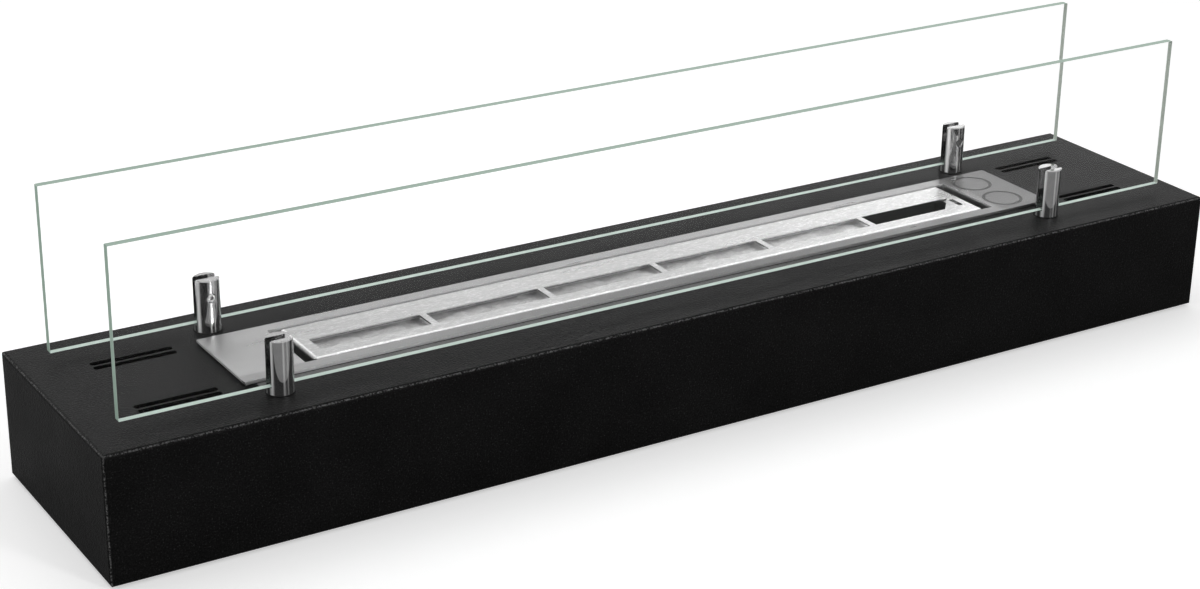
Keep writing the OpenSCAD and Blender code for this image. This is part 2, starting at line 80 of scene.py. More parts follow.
camera_data = bpy.data.cameras.new("camera")
camera_data.sensor_width = SENSOR
camera_data.lens = FOCAL_PIXELS * SENSOR / PICTURE_WIDTH
camera_data.clip_end = FARTHEST_SEEN
camera = bpy.data.objects.new("camera", camera_data)
aim = Euler((math.pi / 2 - CAMERA_DOWN, 0, -CAMERA_AZIMUTH)).to_matrix()
aim = (aim @ Matrix.Rotation(-CAMERA_ROLL, 3, "Z")).to_4x4()
camera.matrix_world = Matrix.Translation(CAMERA_PLACE) @ aim
bpy.context.scene.collection.objects.link(camera)
bpy.context.scene.camera = camera
print("lens in mm:", round(camera_data.lens, 2))

# %% [markdown]
# White surroundings
#
# The fireplace stands on a plain white floor against a white background. A backdrop could be lit until
# it burns out, but that light would also wash over the object. Light Path solves it: what the camera, a
# mirror or glass sees directly is white, while the object is lit at a plain level.

# %% Background
scene = bpy.context.scene
scene.view_settings.view_transform = "Standard"
AMBIENT = 0.35


def seen_directly(graph, in_mirrors=1):
    """1 for rays from the camera or through glass, in_mirrors for mirror rays, and 0 for the rest."""
    path = graph.nodes.new("ShaderNodeLightPath")
    mirrored = graph.nodes.new("ShaderNodeMath")
    mirrored.operation = "MULTIPLY"
    mirrored.inputs[1].default_value = in_mirrors
    graph.links.new(path.outputs["Is Glossy Ray"], mirrored.inputs[0])
    seen = mirrored.outputs[0]
    for kind in ("Is Camera Ray", "Is Transmission Ray"):
        either = graph.nodes.new("ShaderNodeMath")
        either.operation = "MAXIMUM"
        graph.links.new(path.outputs[kind], either.inputs[0])
        graph.links.new(seen, either.inputs[1])
        seen = either.outputs[0]
    return seen


world = bpy.data.worlds.new("studio")
scene.world = world
world.use_nodes = True
graph = world.node_tree
background = graph.nodes["Background"]
background.inputs["Color"].default_value = (1, 1, 1, 1)
level = graph.nodes.new("ShaderNodeMapRange")
level.inputs["To Min"].default_value = AMBIENT
level.inputs["To Max"].default_value = 1
graph.links.new(seen_directly(graph), level.inputs["Value"])
graph.links.new(level.outputs["Result"], background.inputs["Strength"])
print("background nodes:", len(graph.nodes))

# %% [markdown]
# The floor's disc
#
# A studio floor could be a large square, but its corners would show in some views. A disc ends at the same
# distance all round, and one face is enough for it.

# %% Floor mesh
FLOOR_RADIUS, FLOOR_CORNERS = 12, 64

floor_mesh = bpy.data.meshes.new("floor")
outline = bmesh.new()
bmesh.ops.create_circle(outline, cap_ends=True, radius=FLOOR_RADIUS, segments=FLOOR_CORNERS)
outline.to_mesh(floor_mesh)
outline.free()
floor = bpy.data.objects.new("floor", floor_mesh)
scene.collection.objects.link(floor)
print("floor faces:", len(floor_mesh.polygons))

# %% [markdown]
# A white floor that keeps the shadow
#
# A glowing floor is white but has no shadow, and a matt one has a shadow but turns grey. This one is both:
# matt, with a glow on top that only direct looks see, and that grows with distance, where the lamps reach
# less. Paint and polished posts would lose their depth over so much white, so mirror rays meet a darker
# floor that hardly glows. Blender also counts a look through a pane as a mirror ray, which is why the
# mirror's share is compared with Is Transmission Ray.

# %% Floor colour and glow
FLOOR_ALBEDO, MIRRORED_ALBEDO = 0.8, 0.4
FLOOR_GLOW, FAR_GLOW, MIRRORED_GLOW = 0.45, 0.8, 0.08
GLOW_NEAR, GLOW_FAR = 1.5, 5


def floor_colour(graph):
    """The floor's whiteness: MIRRORED_ALBEDO for mirror rays and FLOOR_ALBEDO for all others."""
    path = graph.nodes.new("ShaderNodeLightPath")
    mirrored = graph.nodes.new("ShaderNodeMath")
    mirrored.operation = "GREATER_THAN"
    graph.links.new(path.outputs["Is Glossy Ray"], mirrored.inputs[0])
    graph.links.new(path.outputs["Is Transmission Ray"], mirrored.inputs[1])
    whiteness = graph.nodes.new("ShaderNodeMapRange")
    whiteness.inputs["To Min"].default_value = FLOOR_ALBEDO
    whiteness.inputs["To Max"].default_value = MIRRORED_ALBEDO
    graph.links.new(mirrored.outputs[0], whiteness.inputs["Value"])
    return whiteness.outputs["Result"]


def floor_glow(graph):
    """The glow's strength, from FLOOR_GLOW near the fireplace to FAR_GLOW in the distance."""
    coordinates = graph.nodes.new("ShaderNodeTexCoord")
    distance = graph.nodes.new("ShaderNodeVectorMath")
    distance.operation = "LENGTH"
    graph.links.new(coordinates.outputs["Object"], distance.inputs[0])
    reach = graph.nodes.new("ShaderNodeMapRange")
    reach.inputs["From Min"].default_value, reach.inputs["From Max"].default_value = GLOW_NEAR, GLOW_FAR
    reach.inputs["To Min"].default_value, reach.inputs["To Max"].default_value = FLOOR_GLOW, FAR_GLOW
    graph.links.new(distance.outputs["Value"], reach.inputs["Value"])
    strength = graph.nodes.new("ShaderNodeMath")
    strength.operation = "MULTIPLY"
    graph.links.new(seen_directly(graph, MIRRORED_GLOW), strength.inputs[0])
    graph.links.new(reach.outputs["Result"], strength.inputs[1])
    return strength.outputs[0]


print("floor's whiteness:", FLOOR_ALBEDO, "and for mirror rays:", MIRRORED_ALBEDO)

# %% [markdown]
# Matt and glow together
#
# A Principled shader could glow too, but the floor needs nothing else of it. A diffuse shader and an
# emission, simply added, are the shortest way to a floor that takes a shadow and still looks white.

# %% Floor finish
floor_finish = bpy.data.materials.new("white_floor")
floor_finish.use_nodes = True
graph = floor_finish.node_tree
graph.nodes.clear()
matt_white = graph.nodes.new("ShaderNodeBsdfDiffuse")
graph.links.new(floor_colour(graph), matt_white.inputs["Color"])
glow = graph.nodes.new("ShaderNodeEmission")
graph.links.new(floor_glow(graph), glow.inputs["Strength"])
both = graph.nodes.new("ShaderNodeAddShader")
graph.links.new(matt_white.outputs[0], both.inputs[0])
graph.links.new(glow.outputs[0], both.inputs[1])
out = graph.nodes.new("ShaderNodeOutputMaterial")
graph.links.new(both.outputs[0], out.inputs["Surface"])
floor_mesh.materials.append(floor_finish)
print("floor nodes:", len(graph.nodes))

# %% [markdown]
# Soft light
#
# Point lamps would give hard shadows and burnt dots on the polished posts. Large area lamps give the
# broad, even light of a studio: one high over the fireplace, one behind it that runs along the bent edges,
# one behind its right half, and two narrow strips at the left and in front. The strips hardly light the
# deck, but its gloss mirrors them into the posts, where they stand as bright upright lines.

# %% Lamps
TARGET = Vector((0, 0, 0.1))


def softbox(name, place, width, height, radiance):
    """An area lamp that faces the middle of the fireplace. A white wall of the studio has radiance 1."""
    data = bpy.data.lights.new(name, "AREA")
    data.shape = "RECTANGLE"
    data.size, data.size_y = width, height
    data.energy = radiance * math.pi * width * height
    lamp = bpy.data.objects.new(name, data)
    lamp.location = place
    lamp.rotation_euler = (Vector(place) - TARGET).to_track_quat("Z", "Y").to_euler()
    scene.collection.objects.link(lamp)
    print(name, "watts:", round(data.energy, 1))


softbox("softbox_top", (0.1, 0.7, 2.3), 3.4, 1.7, 1.08)
softbox("softbox_rear", (-0.4, 2.5, 2.1), 1.4, 0.5, 3.9)
softbox("softbox_right", (1.9, 2.4, 1.3), 1.8, 0.9, 0.6)
softbox("strip_left", (-2.8, -0.55, 1.2), 0.35, 0.9, 8.0)
softbox("strip_front", (0.5, -2.4, 1.15), 0.35, 0.9, 16.0)

# %% [markdown]
# Node helpers
#
# Every finish here is a small graph of Blender's own texture nodes, so nothing is painted or loaded.
# Written out, each node takes three or four lines. Short helpers for sums, ranges and blends keep the
# graphs readable.

# %% Helpers for graphs


class Graph:
    """Short calls for the nodes of a material's graph."""

    def __init__(self, graph):
        self.graph = graph

    def add(self, kind, **settings):
        made = self.graph.nodes.new(kind)
        for key, value in settings.items():
            setattr(made, key, value)
        return made

    def link(self, source, target):
        self.graph.links.new(source, target)

    def fill(self, sockets, values):
        """Gives each socket its value, or links it where the value comes from a node."""
        for socket, value in zip(sockets, values):
            if isinstance(value, (int, float)):
                socket.default_value = value
            elif isinstance(value, tuple):
                socket.default_value = (*value, 1)
            else:
                self.link(value, socket)

    def split(self, vector):
        """The X, Y and Z of a place or a direction."""
        node = self.add("ShaderNodeSeparateXYZ")
        self.link(vector, node.inputs[0])
        return node.outputs

    def remap(self, source, low, high, from_low=0.3, from_high=0.7):
        """Stretches from_low to from_high, if not given the middle of a 0 to 1 texture, over low to high."""
        node = self.add("ShaderNodeMapRange")
        for key, value in zip(("From Min", "From Max", "To Min", "To Max"), (from_low, from_high, low, high)):
            node.inputs[key].default_value = value
        self.link(source, node.inputs["Value"])
        return node.outputs["Result"]

    def math(self, operation, first, second=0):
        node = self.add("ShaderNodeMath", operation=operation)
        self.fill(node.inputs, (first, second))
        return node.outputs[0]

    def times(self, first, second):
        return self.math("MULTIPLY", first, second)

    def away(self, value, middle):
        """How far a value is from middle, on either side."""
        return self.math("ABSOLUTE", self.math("SUBTRACT", value, middle))

    def blend(self, share, first, second):
        """first where share is 0, second where it is 1."""
        node = self.add("ShaderNodeMix")
        self.link(share, node.inputs["Factor"])
        self.fill((node.inputs["A"], node.inputs["B"]), (first, second))
        return node.outputs["Result"]

    def tint(self, share, first, second):
        """As blend, for colours."""
        node = self.add("ShaderNodeMix", data_type="RGBA")
        self.link(share, node.inputs["Factor"])
        self.fill((node.inputs[6], node.inputs[7]), (first, second))
        return node.outputs[2]

    def ramp(self, source, *stops):
        """Colours along a texture: each stop is (position, (r, g, b))."""
        node = self.add("ShaderNodeValToRGB")
        for element, (position, colour) in zip(node.color_ramp.elements, stops, strict=True):
            element.position = position
            element.color = (*colour, 1)
        self.link(source, node.inputs["Fac"])
        return node.outputs["Color"]


print("helpers for graphs:", len([name for name in vars(Graph) if not name.startswith("_")]))

# %% [markdown]
# A finish
#
# A finish is a material with its shader, and what feeds it. Image textures would need a mesh that is
# unwrapped. Noise that is laid out by place needs none, and it can be given a real size in millimetres.
# Most finishes need it as a grain, as a grey and as a bump.

# %% Helpers for finishes


class Finish(Graph):
    """A material with its Principled shader, and short calls for what feeds it."""

    def __init__(self, name):
        self.material = bpy.data.materials.new(name)
        self.material.use_nodes = True
        super().__init__(self.material.node_tree)
        self.shader = self.graph.nodes["Principled BSDF"]
        coordinates = self.add("ShaderNodeTexCoord")
        self.place, self.normal = coordinates.outputs["Object"], coordinates.outputs["Normal"]

    def put(self, **values):
        """Sets the shader's own sockets, named with underscores for spaces."""
        for key, value in values.items():
            self.shader.inputs[key.replace("_", " ")].default_value = value

    def feed(self, source, socket):
        self.link(source, self.shader.inputs[socket])

    def noise(self, grain_mm, detail=4, stretch=(1, 1, 1), rough=0.5, seed=0.0):
        """Noise whose grains are grain_mm across, drawn out along an axis by stretch."""
        mapping = self.add("ShaderNodeMapping")
        mapping.inputs["Scale"].default_value = [1 / (grain_mm * MM * s) for s in stretch]
        mapping.inputs["Location"].default_value = (seed, seed * 2, seed * 3)
        self.link(self.place, mapping.inputs["Vector"])
        texture = self.add("ShaderNodeTexNoise")
        texture.inputs["Scale"].default_value = 1
        texture.inputs["Detail"].default_value = detail
        texture.inputs["Roughness"].default_value = rough
        self.link(mapping.outputs[0], texture.inputs["Vector"])
        return texture.outputs["Fac"]

    def paint(self, shade):
        """A grey of that value as the base colour."""
        colour = self.add("ShaderNodeCombineColor")
        for channel in ("Red", "Green", "Blue"):
            self.link(shade, colour.inputs[channel])
        self.feed(colour.outputs[0], "Base Color")

    def bump(self, source, height_mm, strength=1.0, under=None):
        node = self.add("ShaderNodeBump")
        node.inputs["Distance"].default_value = height_mm * MM
        node.inputs["Strength"].default_value = strength
        self.link(source, node.inputs["Height"])
        if under is not None:
            self.link(under, node.inputs["Normal"])
        return node.outputs["Normal"]


print("helpers for finishes:", len([name for name in vars(Finish) if not name.startswith("_")]))

# %% [markdown]
# A shelf for the finishes
#
# The construction brings plain materials along, and Blender adds a number to a new one whose name is
# taken, such as .001. Looking a finish up by its name in Blender would find the plain one. So each
# finish is put on a shelf under its name without the number, which for most is the slot that it fills.

# %% Shelf of finished materials
finishes = {}


def keep(material):
    finishes[material.name.split(".")[0]] = material
    print(material.name, "nodes:", len(material.node_tree.nodes))


def grey(value):
    return (value, value, value)


print("finishes so far:", len(finishes))

# %% [markdown]
# Worn and highlit folds of the coat
#
# The housing is folded from steel sheet, and its baked coat thins over the folds, which catch the light as
# rows of small specks: the grey there is partly worn coat and partly a painted highlight. They could be
# painted fold by fold. A rule finds all folds at once: a point's distance to the nearest edge of the
# housing's box is the middle one of its distances to the three pairs of faces, and noise breaks the line up.

# %% Specks along the folds
FOLD_NEAR, FOLD_FAR = 0.9 * MM, 1.7 * MM
WEAR_AND_HIGHLIGHT_TONE = 0.15


def distance_to_folds(finish, node):
    """Distance from a shaded point to the nearest edge of the node's box."""
    low, high = corners(node)
    axes = finish.split(finish.place)
    near = [finish.away(finish.away(axes[axis], middle), half)
            for axis, middle, half in zip("XYZ", (low + high) / 2, (high - low) / 2)]
    smaller = finish.math("MINIMUM", near[0], near[1])
    larger = finish.math("MAXIMUM", near[0], near[1])
    return finish.math("MAXIMUM", smaller, finish.math("MINIMUM", larger, near[2]))


def worn_and_highlit_folds(coat):
    """The grey that wear and a painted highlight add to the coat along its folds."""
    fold = coat.remap(distance_to_folds(coat, "housing_shell"), 1, 0, FOLD_NEAR, FOLD_FAR)
    fold_specks = coat.remap(coat.noise(1.5, detail=3, rough=0.7, seed=12), 0, 1, 0.44, 0.62)
    return coat.times(coat.times(fold, fold_specks), WEAR_AND_HIGHLIGHT_TONE)


print("wear reaches, in mm:", round(FOLD_FAR / MM, 2))

# %% [markdown]
# Painted light in front of the frame
#
# Along the front edge of the steel frame a pale strip of light lies on the black deck, most of all at the
# left.
# A lamp could do that only with a sharp mirror image, which a soft coat doesn't show. So the strip is
# painted light in the coat's own grey: it fades away from the frame and towards the right.

# %% Painted light strip
PAINTED_LIGHT_WIDTH = 9 * MM
PAINTED_LIGHT_TONES, PAINTED_LIGHT_REACH = (0.15, 0.03), (0.05, 0.28)


def painted_light_strip(coat):
    """The painted light that the strip adds to the coat's grey."""
    low, high = corners("burner_frame")
    axes = coat.split(coat.place)
    beside = coat.remap(axes["Y"], 0, 1, low.y - PAINTED_LIGHT_WIDTH, low.y - PAINTED_LIGHT_WIDTH / 3)
    painted_light = coat.times(beside, coat.remap(axes["X"], *PAINTED_LIGHT_TONES, *PAINTED_LIGHT_REACH))
    for inside in (coat.math("LESS_THAN", axes["Y"], low.y),
                   coat.math("GREATER_THAN", axes["X"], low.x + PAINTED_LIGHT_WIDTH),
                   coat.math("LESS_THAN", axes["X"], high.x)):
        painted_light = coat.times(painted_light, inside)
    return painted_light


print("haze strip, in mm:", round(PAINTED_LIGHT_WIDTH / MM, 1))

# %% [markdown]
# Black powder coat
#
# Up close a powder coat is a fine orange-peel skin with a harder grain on top. One noise alone looks like
# leather. Two sizes of it in the bump give skin and grain, a third gives the few grains that glint, as a
# painted glint of lighter specks in the colour, and a wide cloud keeps the large faces from looking even.

# %% Powder coat
PEEL_MM, GRAIN_MM, SPECK_MM, COAT_CLOUD_MM = 3.2, 1.5, 1.3, 45
COAT_TONES, PAINTED_GLINT = (0.003, 0.011), 0.035
COAT_ROUGHNESS = (0.3, 0.38)


def powder_coat():
    coat = Finish("black_powder_coat")
    coat.put(Specular_IOR_Level=0.034)
    peel = coat.noise(PEEL_MM, detail=2)
    grain = coat.noise(GRAIN_MM, detail=2, rough=0.6, seed=4)
    speck = coat.noise(SPECK_MM, detail=2, rough=0.7, seed=9)
    cloud = coat.noise(COAT_CLOUD_MM, detail=3, seed=2)
    tone = coat.times(coat.remap(speck, *COAT_TONES, 0.35, 0.72), coat.remap(cloud, 0.85, 1.2))
    # Painted glint: lighter specks added to the coat's grey.
    shade = coat.math("ADD", tone, coat.remap(speck, 0, PAINTED_GLINT, 0.62, 0.78))
    # Worn coat and a painted highlight along the folds.
    shade = coat.math("ADD", shade, worn_and_highlit_folds(coat))
    # Painted light: the pale strip beside the frame.
    coat.paint(coat.math("ADD", shade, painted_light_strip(coat)))
    coat.feed(coat.remap(cloud, *COAT_ROUGHNESS), "Roughness")
    coat.feed(coat.bump(grain, 0.55, 0.8, under=coat.bump(peel, 0.15, 0.6)), "Normal")
    return coat.material


keep(powder_coat())

# %% [markdown]
# Brushed stainless steel
#
# Brushing leaves thousands of parallel scratches along the sheet. They are far finer than a picture's
# pixels, so a bump alone would only flicker: the shader's own anisotropy spreads the light across the
# grain, and drawn-out noise adds the streaks that can be seen.

# %% Brushing


def brushed_steel(name, tone, roughness, anisotropic, grain_mm=0.5, streak=0.12, length=90):
    """Steel with its grain along X. tone is the mean reflectance, streak how far the grain varies it."""
    steel = Finish(name)
    steel.put(Metallic=1, Anisotropic=anisotropic)
    along = steel.add("ShaderNodeCombineXYZ")
    along.inputs["X"].default_value = 1
    steel.feed(along.outputs[0], "Tangent")
    grain = steel.noise(grain_mm, detail=4, stretch=(length, 1, 1), rough=0.6)
    broad = steel.noise(18, detail=2, stretch=(5, 1, 1), seed=3)
    faint = steel.remap(broad, -streak / 2, streak / 2)
    mixed = steel.math("ADD", steel.remap(grain, -streak, streak), faint)
    steel.feed(steel.remap(broad, roughness * 0.9, roughness * 1.1), "Roughness")
    steel.feed(steel.bump(grain, 0.004, 0.5), "Normal")
    return steel, steel.math("ADD", steel.times(mixed, tone), tone)


print("brushing is ready")

# %% [markdown]
# Sheared edges
#
# Where a sheet was cut, its narrow edge is coarse and milky and mirrors nothing. It could have a material
# of its own, but then every edge face would have to be picked. The faces' direction tells them apart: an
# edge is upright. In the opening the edges are pale. On the front they carry painted shade: they darken
# towards the right, and the faces that turn sideways there are dark.

# %% Cut edges
UPRIGHT, SIDEWAYS = 0.3, 0.6
FRONT_STRIP = 9 * MM
INNER_TONE, CORNER_SHADE_TONE, FRONT_EDGE_SHADE_TONES = 0.42, 0.12, (0.52, 0.05)
CUT_ROUGHNESS, CUT_METALLIC = 0.65, 0.25


def cut_edges(steel, shade):
    """The steel's shade, with the upright faces of the frame and its rim as sheared edges."""
    low, high = corners("burner_frame")
    facing, axes = steel.split(steel.normal), steel.split(steel.place)
    upright = steel.math("LESS_THAN", steel.math("ABSOLUTE", facing["Z"]), UPRIGHT)
    inner = steel.math("GREATER_THAN", axes["Y"], low.y + FRONT_STRIP / 2)
    sideways = steel.math("GREATER_THAN", steel.math("ABSOLUTE", facing["X"]), SIDEWAYS)
    # Painted shade: the front edges darken towards the right, and the faces turned sideways are dark.
    outer_tone = steel.blend(sideways, steel.remap(axes["X"], *FRONT_EDGE_SHADE_TONES, low.x, high.x), CORNER_SHADE_TONE)
    tone = steel.blend(inner, outer_tone, INNER_TONE)
    fine = steel.noise(0.4, detail=3, rough=0.7, seed=7)
    brushed = steel.shader.inputs["Roughness"].links[0].from_socket
    steel.feed(steel.blend(upright, brushed, CUT_ROUGHNESS), "Roughness")
    steel.feed(steel.blend(upright, 1, CUT_METALLIC), "Metallic")
    return steel.blend(upright, shade, steel.times(tone, steel.remap(fine, 0.8, 1.2)))


print("edges are upright where a face leans less than", round(math.degrees(math.asin(UPRIGHT)), 1), "degrees")

# %% [markdown]
# The frame and its rim
#
# A flat plate mirrors whatever stands over it, so its tone drifts along its length: it is darker in front of
# the burner, a little darker left of the middle, and darkest at its right end. Lamps alone would need a
# whole studio to copy that, so the drift is painted reflection and shade in the steel's own tone. The floor
# of each etched ring, just under the surface, is darker. Of the rim under the frame only the cut edges show.

# %% Frame and rim
ETCH_START, ETCH_END, ETCH_DARKENING = 0.05 * MM, 0.5 * MM, 0.85
RIGHT_SHADE_START, RIGHT_SHADE_FADE, RIGHT_SHADE_TONE = 58 * MM, 14 * MM, 0.4
STRIP_MIDDLE, STRIP_TONES, STRIP_REACH, STRIP_FADE = 0.06, (0.36, 0.78), (0.05, 0.36), 3 * MM
SHADE_MIDDLE, SHADE_TONE, SHADE_REACH = -0.08, 0.84, (0.1, 0.22)


def frame_steel():
    """The frame: long brushing, light cut edges, and the etched rings as a darker, duller floor."""
    low, high = corners("burner_frame")
    steel, shade = brushed_steel("brushed_stainless", 0.3, 0.3, 0.6, streak=0.07, length=70)
    axes = steel.split(steel.place)
    etched = steel.times(steel.math("LESS_THAN", axes["Z"], high.z - ETCH_START),
                         steel.math("GREATER_THAN", axes["Z"], high.z - ETCH_END))
    shade = steel.times(shade, steel.math("SUBTRACT", 1, steel.times(etched, ETCH_DARKENING)))
    # Painted reflection and shade: darkest at the right end, darker in front of the burner and left of the
    # middle.
    right_end_shade = steel.remap(axes["X"], 1, RIGHT_SHADE_TONE, high.x - RIGHT_SHADE_START, high.x - RIGHT_SHADE_START + RIGHT_SHADE_FADE)
    along = steel.remap(steel.away(axes["X"], STRIP_MIDDLE), *STRIP_TONES, *STRIP_REACH)
    in_front = steel.remap(axes["Y"], 1, 0, low.y + FRONT_STRIP, low.y + FRONT_STRIP + STRIP_FADE)
    shade = steel.times(shade, steel.blend(in_front, right_end_shade, steel.math("MINIMUM", right_end_shade, along)))
    shade = steel.times(shade, steel.remap(steel.away(axes["X"], SHADE_MIDDLE), SHADE_TONE, 1, *SHADE_REACH))
    steel.paint(cut_edges(steel, shade))
    return steel.material


def rim_steel():
    steel, shade = brushed_steel("rim_steel", 0.3, 0.35, 0.3)
    steel.paint(cut_edges(steel, shade))
    return steel.material


keep(frame_steel())
keep(rim_steel())

# %% [markdown]
# The cap of the fuel box
#
# The cap is satin, with short flecks instead of long brushing. It is bent down along its sides: the bends
# catch the lamps, and the narrow joint below them lies in shade. A finer mesh of the bends could give the
# highlight, but a construction's mesh isn't changed, so the faces that lean forward or back are found by
# their direction and get a painted highlight, and the joint gets painted shade. The cap is also painted
# lighter towards its right end.

# %% Cap
CAP_PAINTED_LIGHT = (0.8, 1.28)
FLECK_TONES, FLECK_RANGE = (0.96, 1.4), (0.52, 0.66)
JOINT_DEPTH, JOINT_SHADE_TONE = 1.3 * MM, 0.25
BEND, FRONT_BEND_HIGHLIGHT, BACK_BEND_HIGHLIGHT, BACK_BEND_METALLIC = 0.2, 1.5, 1.9, 0.2


def cap_steel():
    """The cap: flecked satin, a painted highlight on its bends and painted shade in the joint below them."""
    low, high = corners("fuel_box_top")
    steel, shade = brushed_steel("satin_stainless", 0.48, 0.3, 0.4, grain_mm=1.2, streak=0.12, length=6)
    axes, facing = steel.split(steel.place), steel.split(steel.normal)
    # Painted shade in the joint below the bends.
    joint_shade = steel.remap(axes["Z"], JOINT_SHADE_TONE, 1, high.z - JOINT_DEPTH, high.z - JOINT_DEPTH / 2)
    open_side = steel.math("MAXIMUM", steel.math("ABSOLUTE", facing["X"]), facing["Y"])
    end = steel.math("GREATER_THAN", open_side, SIDEWAYS)
    short_grain = steel.noise(1.1, detail=3, stretch=(4, 1, 1), rough=0.7, seed=21)
    # Painted light: the cap grows lighter towards the right.
    shade = steel.times(shade, steel.remap(axes["X"], *CAP_PAINTED_LIGHT, 0, high.x))
    shade = steel.times(steel.times(shade, steel.remap(short_grain, *FLECK_TONES, *FLECK_RANGE)),
                        steel.blend(end, joint_shade, 1))
    # Painted highlight on the bends that lean forward or back.
    front_bend = steel.math("LESS_THAN", facing["Y"], -BEND)
    back_bend = steel.math("GREATER_THAN", facing["Y"], BEND)
    shade = steel.times(shade, steel.blend(front_bend, 1, FRONT_BEND_HIGHLIGHT))
    steel.paint(steel.times(shade, steel.blend(back_bend, 1, BACK_BEND_HIGHLIGHT)))
    steel.feed(steel.blend(back_bend, 1, BACK_BEND_METALLIC), "Metallic")
    return steel.material


keep(cap_steel())

# %% [markdown]
# Plain sheet and fasteners
#
# The trough, the box, the bottom and the screws are plain rolled or plated metal. An even grey would look
# like plastic, and fine marks in the gloss would turn into dark cracks behind glass. A wide, calm cloud and
# faint marks of handling in the bump are enough.

# %% Sheet metal
SHEET_CLOUD_MM = 60


def sheet_steel(name, tone, roughness):
    """Plain rolled sheet: cloudy, with faint marks of handling."""
    steel = Finish(name)
    steel.put(Metallic=1)
    cloud = steel.noise(SHEET_CLOUD_MM, detail=1)
    fine = steel.noise(1.2, detail=3, stretch=(8, 1, 1), seed=5)
    steel.feed(steel.ramp(cloud, (0.3, grey(tone * 0.94)), (0.7, grey(tone * 1.04))), "Base Color")
    steel.feed(steel.remap(cloud, roughness, roughness * 1.15), "Roughness")
    steel.feed(steel.bump(fine, 0.01, 0.4), "Normal")
    return steel.material


keep(sheet_steel("stainless_sheet", 0.5, 0.3))
keep(sheet_steel("zinc_sheet", 0.5, 0.4))
keep(sheet_steel("zinc_fastener", 0.55, 0.32))
keep(sheet_steel("clamp_screw_steel", 0.4, 0.3))

# %% [markdown]
# Painted reflection streaks on the posts
#
# Chrome has almost no colour of its own: it shows the room. The room's bright upright lines are painted on
# the posts as a few upright bands that are lighter and less of a mirror. They could be drawn on an
# unwrapped mesh, but the direction that a face looks in already says which band it is in, so they follow
# every post.

# %% Painted reflection streaks
# Each painted band: the direction it looks in and its half width, in degrees, and how strongly it is painted.
PAINTED_STREAK_BANDS = ((-149, 13, 0.9), (-97, 6, 0.45), (-80, 5, 0.35), (178, 9, 0.5), (140, 5, 0.3), (-50, 6, 0.3))


def painted_streak_share(polish):
    """How much painted reflection a point gets, from all bands together. A band shows on both sides of its
    post.
    """
    facing = polish.split(polish.normal)
    share = 0
    for degrees, width, amount in PAINTED_STREAK_BANDS:
        along, across = math.cos(math.radians(degrees)), math.sin(math.radians(degrees))
        dot = polish.math("ADD", polish.times(facing["X"], along), polish.times(facing["Y"], across))
        mark = polish.remap(polish.math("ABSOLUTE", dot), 0, amount, math.cos(math.radians(width)), 1)
        share = polish.math("ADD", mark, share)
    return share


print("bands on a post:", len(PAINTED_STREAK_BANDS))

# %% [markdown]
# Mouths of the screw holes
#
# On its side towards the burner each post has a hole for its clamp screw, with a flared mouth. The
# construction's mesh stays as it is, so the flare is a bump: its height falls off between two distances
# from the screw's axis, on the half of the post that faces the burner. The distance is measured in the
# two directions across the axis, and it is the same for all four posts if the sign of x is left out.

# %% Countersinks
SCREW_PLACE = sum((Vector(corner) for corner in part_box("clamp_screw_rear_right")), Vector()) / 2
SCREW_PLACE.y = sum(corner[1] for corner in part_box("glass_post_rear_right")) / 2
SINK_INNER, SINK_OUTER, SINK_DEPTH = 2 * MM, 3.9 * MM, 1.6 * MM


def countersinks(polish):
    """0 in the middle of a mouth, and 1 on the plain post."""
    axes = polish.split(polish.place)
    across = (polish.math("SUBTRACT", polish.math("ABSOLUTE", axes["X"]), SCREW_PLACE.x),
              polish.math("SUBTRACT", axes["Z"], SCREW_PLACE.z))
    squares = [polish.times(part, part) for part in across]
    from_screw = polish.math("SQRT", polish.math("ADD", *squares))
    outer_half = polish.math("GREATER_THAN", polish.math("ABSOLUTE", axes["Y"]), SCREW_PLACE.y)
    return polish.math("MAXIMUM", polish.remap(from_screw, 0, 1, SINK_INNER, SINK_OUTER), outer_half)


print("screws at, in mm:", [round(v / MM, 2) for v in SCREW_PLACE])

# %% [markdown]
# Polished posts
#
# What makes chrome look real is that it isn't perfect. One even roughness would look computed, so it
# wanders a little with the touch of fingers, a trace of the lathe's rings stays in the bump, and the bands
# of painted reflection are lighter and less of a mirror than the rest.

# %% Polish
TOUCH_MM = 9
POST_TONES, PAINTED_STREAK_TONE = (0.4, 0.47), 0.5
POST_ROUGHNESS, PAINTED_STREAK_ROUGHNESS = (0.04, 0.08), 0.2
CLEAR_METALLIC, PAINTED_STREAK_METALLIC = 0.96, 0.1


def mirror_polish():
    polish = Finish("polished_post")
    touch = polish.noise(TOUCH_MM, detail=5)
    rings = polish.noise(0.35, detail=2, stretch=(60, 60, 1), seed=6)
    # Painted reflection bands: lighter grey, rougher and less metal than the rest.
    painted_streaks = painted_streak_share(polish)
    polish.feed(polish.remap(painted_streaks, CLEAR_METALLIC, PAINTED_STREAK_METALLIC, 0, 1), "Metallic")
    polish.paint(polish.math("ADD", polish.remap(touch, *POST_TONES), polish.times(painted_streaks, PAINTED_STREAK_TONE)))
    roughness = polish.math("ADD", polish.remap(touch, *POST_ROUGHNESS), polish.times(painted_streaks, PAINTED_STREAK_ROUGHNESS))
    polish.feed(roughness, "Roughness")
    lathe = polish.bump(rings, 0.002, 0.3)
    polish.feed(polish.bump(countersinks(polish), SINK_DEPTH / MM, 1, under=lathe), "Normal")
    return polish.material


keep(mirror_polish())

# %% [markdown]
# Green edges of the glass
#
# Float glass is clear across 6 mm and green along a metre: light that enters the edge travels far inside
# and comes out pale green. Following all those bounces is slow and noisy, so the narrow edge faces are
# found by their distance to the pane's outline and given that glow directly: pale along the bottom, where
# it gathers, and deeper at the ends, between two light ground corners.

